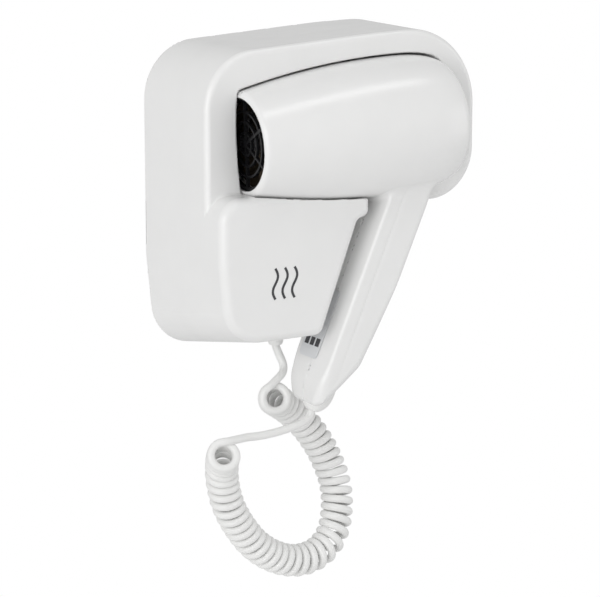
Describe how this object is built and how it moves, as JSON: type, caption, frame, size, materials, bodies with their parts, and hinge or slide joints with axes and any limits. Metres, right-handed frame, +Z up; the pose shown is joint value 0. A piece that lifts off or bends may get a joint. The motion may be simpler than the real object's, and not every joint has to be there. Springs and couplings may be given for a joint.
{
  "type": "wall hung hair dryer",
  "caption": "Pistol-shaped hair dryer resting in the trough of a soft-cornered wall holder, with a curly lead hanging in a loop between the two.",
  "frame": {"origin": "on the wall, midway between the wall plate's two keyhole entries across and at the height of the plate's middle", "axes": "+X to the right seen from the front (towards the dryer's rear end), +Y into the wall, +Z up"},
  "size_m": [0.1809, 0.1062, 0.309],
  "materials": {
    "white_abs": "glossy moulded white ABS",
    "grey_abs": "plain moulded grey",
    "black_nylon": "matt black",
    "white_pvc": "semi-gloss flexible PVC",
    "cream_polyamide": "matt cream",
    "mica": "pressed mica board",
    "steel": "zinc-plated",
    "heater_wire": "dull drawn wire",
    "red_wire": "silicone insulation",
    "label_foil": "satin blank foil"
  },
  "bodies": {
    "holder": {"wall_plate": "grey_abs", "holder_cover": "white_abs", "cover_screw_1": "steel", "cover_screw_2": "steel", "mains_bush": "black_nylon", "terminal_block": "cream_polyamide", "terminal_screw_1": "steel", "terminal_screw_2": "steel", "terminal_screw_3": "steel", "microswitch": "black_nylon", "plunger_spring": "steel", "cord_grommet": "white_pvc", "holder_inner_lead": "white_pvc", "cord_holder_lead": "white_pvc", "cord_coil": "white_pvc"},
    "handset": {"handset_front_shell": "white_abs", "handset_back_shell": "white_abs", "shell_screw_1": "steel", "shell_screw_2": "steel", "shell_screw_3": "steel", "nozzle_grille": "black_nylon", "intake_grille": "white_abs", "heater_sleeve": "mica", "mica_cross": "mica", "heater_coil": "heater_wire", "thermostat": "steel", "thermal_fuse": "steel", "fan_duct": "black_nylon", "motor": "steel", "switch_body": "black_nylon", "rating_label": "label_foil", "cord_boot": "white_pvc", "handset_inner_lead": "white_pvc", "heater_lead": "red_wire", "cord_handset_lead": "white_pvc"},
    "fan": {"fan": "black_nylon", "motor_shaft": "steel"},
    "switch": {"switch_knob": "white_abs"},
    "plunger": {"dock_plunger": "grey_abs"}
  },
  "joints": [
    {"name": "handset_lift", "type": "slide", "parent": "holder", "child": "handset", "axis": [0, -0.9781, 0.2079], "range_m": [0, 0.12]},
    {"name": "plunger_slide", "type": "slide", "parent": "holder", "child": "plunger", "axis": [0, -1, 0], "range_m": [0, 0.004]},
    {"name": "fan_spin", "type": "hinge", "parent": "handset", "child": "fan", "pos_m": [0.009, -0.068, 0.0362], "axis": [0.9991, 0, 0.0419], "continuous": true},
    {"name": "switch_slide", "type": "slide", "parent": "handset", "child": "switch", "axis": [0.4094, 0, 0.9124], "range_m": [0, 0.009]}
  ],
  "couplings": [
    {"joint": "plunger_slide", "follows": "handset_lift", "ratio": 0.033333}
  ]
}
